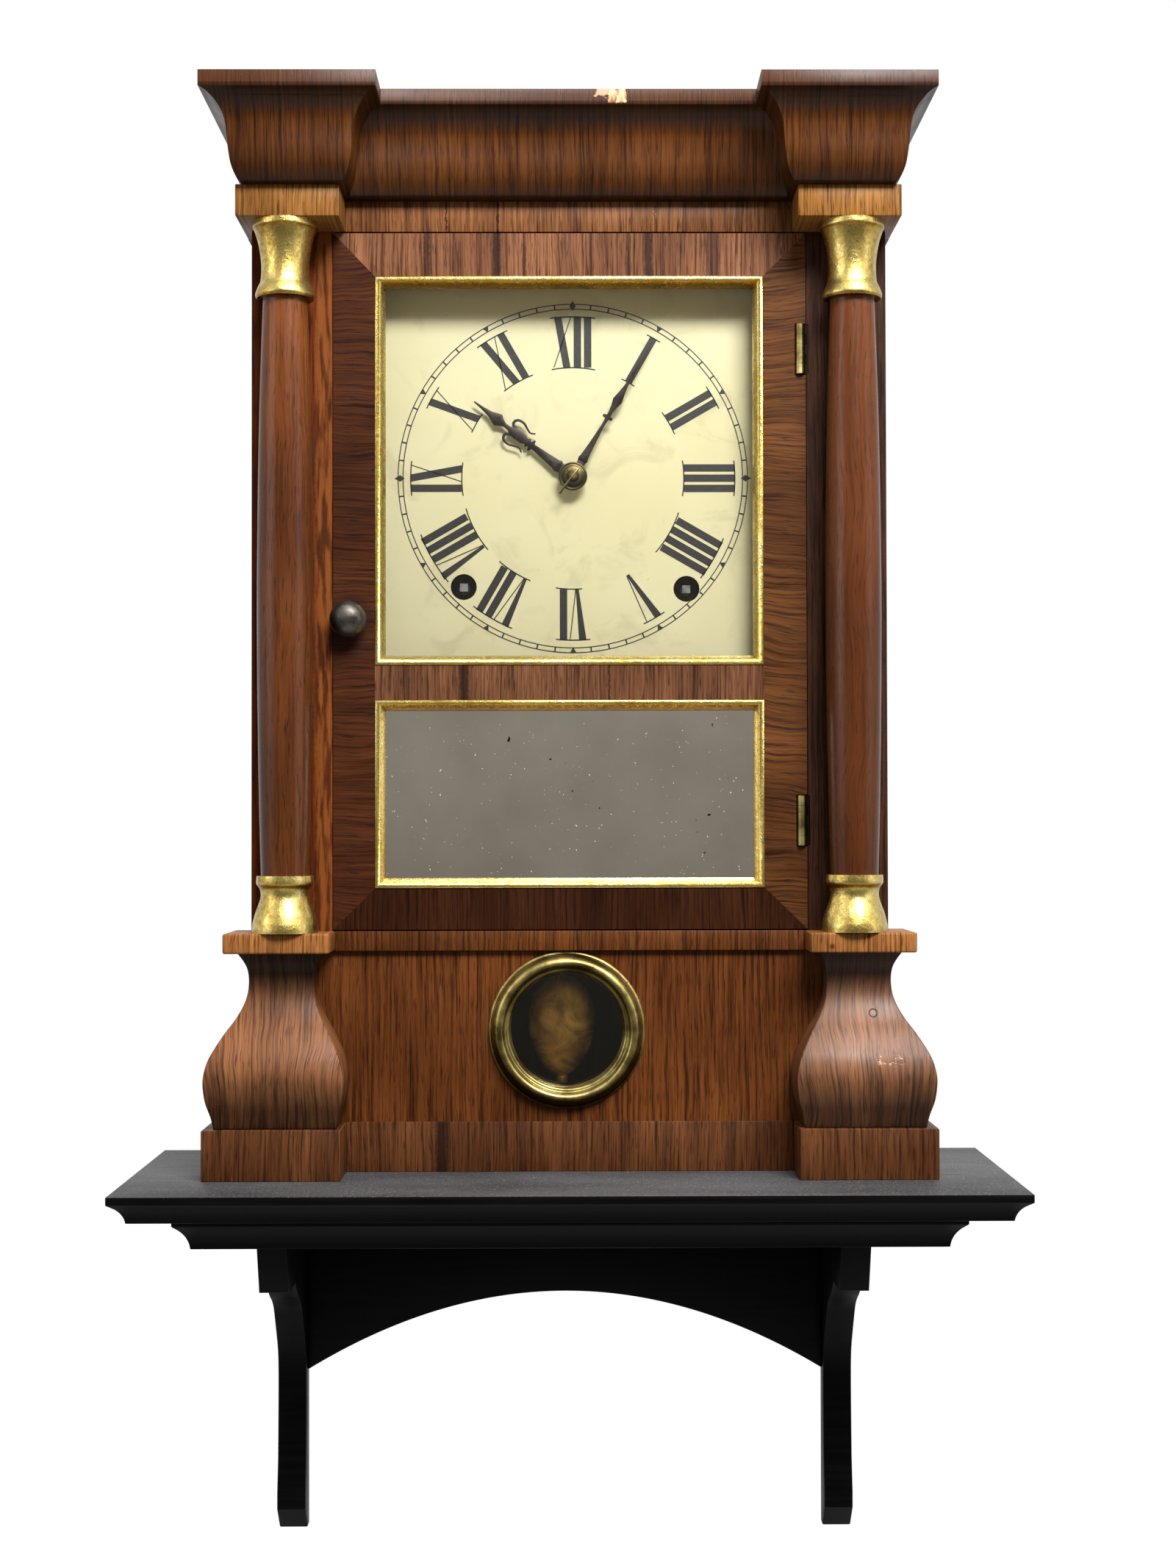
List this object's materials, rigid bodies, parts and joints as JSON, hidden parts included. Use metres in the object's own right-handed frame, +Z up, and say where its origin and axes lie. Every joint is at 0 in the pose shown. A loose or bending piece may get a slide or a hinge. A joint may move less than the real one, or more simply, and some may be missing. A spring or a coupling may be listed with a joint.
{
  "type": "column wall clock",
  "caption": "Veneered column clock with gilt capitals, glazed and mirrored door, painted dial, striking spring movement and half-second pendulum, standing on a black wall shelf.",
  "frame": {"origin": "on the wall behind the middle of the shelf's back rail", "axes": "+Y points into the wall, +Z points up, +X points to the viewer's right"},
  "size_m": [0.33, 0.1229, 0.5593],
  "materials": {
    "black_paint": "satin paint",
    "case_wood": "planed softwood",
    "dark_veneer": "satin varnish",
    "light_veneer": "satin varnish",
    "red_varnish": "gloss varnish",
    "gilt_wood": "gold leaf",
    "clear_glass": "clear",
    "mirror_glass": "silvered",
    "pewter": "dull",
    "brass": "aged",
    "dial_paint": "satin cream",
    "blued_steel": "blued",
    "steel": "satin",
    "cast_iron": "blacked"
  },
  "bodies": {
    "case": {"shelf_top_board": "black_paint", "shelf_lower_board": "black_paint", "shelf_bracket_left": "black_paint", "shelf_bracket_right": "black_paint", "shelf_apron": "black_paint", "case_carcass": "case_wood", "backboard": "case_wood", "cornice": "dark_veneer", "frieze": "light_veneer", "stile_left": "dark_veneer", "stile_right": "dark_veneer", "ledge_board": "light_veneer", "base_panel": "dark_veneer", "scroll_pedestal_left": "dark_veneer", "scroll_pedestal_right": "dark_veneer", "plinth": "dark_veneer", "column_shaft_left": "red_varnish", "column_shaft_right": "red_varnish", "capital_left": "gilt_wood", "capital_right": "gilt_wood", "column_base_left": "gilt_wood", "column_base_right": "gilt_wood", "hinge_case_leaf_upper": "brass", "hinge_case_leaf_lower": "brass", "window_bezel": "brass", "window_glass": "clear_glass", "dial": "dial_paint", "front_plate": "brass", "back_plate": "brass", "time_mainspring": "steel", "strike_mainspring": "steel", "gong": "cast_iron"},
    "door": {"door_frame": "dark_veneer", "upper_bead": "gilt_wood", "lower_bead": "gilt_wood", "door_glass": "clear_glass", "mirror": "mirror_glass", "hinge_door_leaf_upper": "brass", "hinge_door_leaf_lower": "brass"},
    "latch": {"door_knob": "pewter", "door_latch": "brass"},
    "minute": {"center_wheel": "brass", "minute_hand": "blued_steel", "hand_collet": "brass"},
    "hour": {"hour_wheel": "brass", "hour_hand": "blued_steel"},
    "motion": {"minute_wheel": "brass"},
    "time_great": {"time_great_wheel": "brass"},
    "time_key": {"time_winding_arbor": "steel"},
    "second": {"second_wheel": "brass"},
    "third": {"third_wheel": "brass"},
    "escape": {"escape_wheel": "brass"},
    "verge": {"verge": "steel"},
    "pendulum": {"pendulum_rod": "brass", "pendulum_bob": "brass"},
    "strike_great": {"strike_great_wheel": "brass"},
    "strike_key": {"strike_winding_arbor": "steel"},
    "strike_pin": {"strike_pin_wheel": "brass"},
    "fly": {"fly": "brass"},
    "hammer": {"strike_hammer": "steel"}
  },
  "joints": [
    {"name": "door_hinge", "type": "hinge", "parent": "case", "child": "door", "pos_m": [0.0885, -0.0634, 0.2615], "axis": [0, 0, 1], "range_deg": [0, 100]},
    {"name": "knob_turn", "type": "hinge", "parent": "door", "child": "latch", "pos_m": [-0.0841, -0.05, 0.2479], "axis": [0, 1, 0], "range_deg": [0, 90]},
    {"name": "train_turn", "type": "hinge", "parent": "case", "child": "third", "pos_m": [0.00688, -0.022, 0.32734], "axis": [0, 1, 0], "continuous": true},
    {"name": "minute_turn", "type": "hinge", "parent": "case", "child": "minute", "pos_m": [0.0014, -0.033, 0.3049], "axis": [0, 1, 0], "continuous": true},
    {"name": "hour_turn", "type": "hinge", "parent": "case", "child": "hour", "pos_m": [0.0014, -0.04, 0.3049], "axis": [0, 1, 0], "continuous": true},
    {"name": "motion_turn", "type": "hinge", "parent": "case", "child": "motion", "pos_m": [0.0014, -0.032, 0.2905], "axis": [0, 1, 0], "continuous": true},
    {"name": "second_turn", "type": "hinge", "parent": "case", "child": "second", "pos_m": [0.03222, -0.022, 0.2863], "axis": [0, 1, 0], "continuous": true},
    {"name": "time_great_turn", "type": "hinge", "parent": "case", "child": "time_great", "pos_m": [0.0456, -0.0275, 0.2617], "axis": [0, 1, 0], "continuous": true},
    {"name": "time_winding", "type": "hinge", "parent": "time_great", "child": "time_key", "pos_m": [0.0456, -0.0275, 0.2617], "axis": [0, 1, 0], "continuous": true},
    {"name": "escape_turn", "type": "hinge", "parent": "case", "child": "escape", "pos_m": [-0.01292, -0.03, 0.3271], "axis": [0, 1, 0], "continuous": true},
    {"name": "pendulum_swing", "type": "hinge", "parent": "case", "child": "pendulum", "pos_m": [-0.0034, -0.04, 0.3407], "axis": [0, 1, 0], "range_deg": [-2.5, 2.5]},
    {"name": "verge_swing", "type": "hinge", "parent": "case", "child": "verge", "pos_m": [-0.0034, -0.034, 0.3407], "axis": [0, 1, 0], "range_deg": [-2.5, 2.5]},
    {"name": "strike_turn", "type": "hinge", "parent": "case", "child": "strike_pin", "pos_m": [-0.03634, -0.022, 0.29007], "axis": [0, 1, 0], "continuous": true},
    {"name": "strike_great_turn", "type": "hinge", "parent": "case", "child": "strike_great", "pos_m": [-0.0412, -0.0275, 0.2625], "axis": [0, 1, 0], "continuous": true},
    {"name": "strike_winding", "type": "hinge", "parent": "strike_great", "child": "strike_key", "pos_m": [-0.0412, -0.0275, 0.2625], "axis": [0, 1, 0], "continuous": true},
    {"name": "fly_turn", "type": "hinge", "parent": "case", "child": "fly", "pos_m": [-0.0309, -0.022, 0.31036], "axis": [0, 1, 0], "continuous": true},
    {"name": "hammer_swing", "type": "hinge", "parent": "case", "child": "hammer", "pos_m": [-0.0126, -0.022, 0.2539], "axis": [0, 1, 0], "range_deg": [0, 20]}
  ],
  "couplings": [
    {"joint": "minute_turn", "follows": "train_turn", "ratio": -0.1},
    {"joint": "hour_turn", "follows": "train_turn", "ratio": -0.0083333},
    {"joint": "motion_turn", "follows": "train_turn", "ratio": 0.033333},
    {"joint": "second_turn", "follows": "train_turn", "ratio": 0.05},
    {"joint": "time_great_turn", "follows": "train_turn", "ratio": -0.0083333},
    {"joint": "escape_turn", "follows": "train_turn", "ratio": -10},
    {"joint": "verge_swing", "follows": "pendulum_swing", "ratio": 1},
    {"joint": "strike_great_turn", "follows": "strike_turn", "ratio": -0.16667},
    {"joint": "fly_turn", "follows": "strike_turn", "ratio": -9}
  ]
}
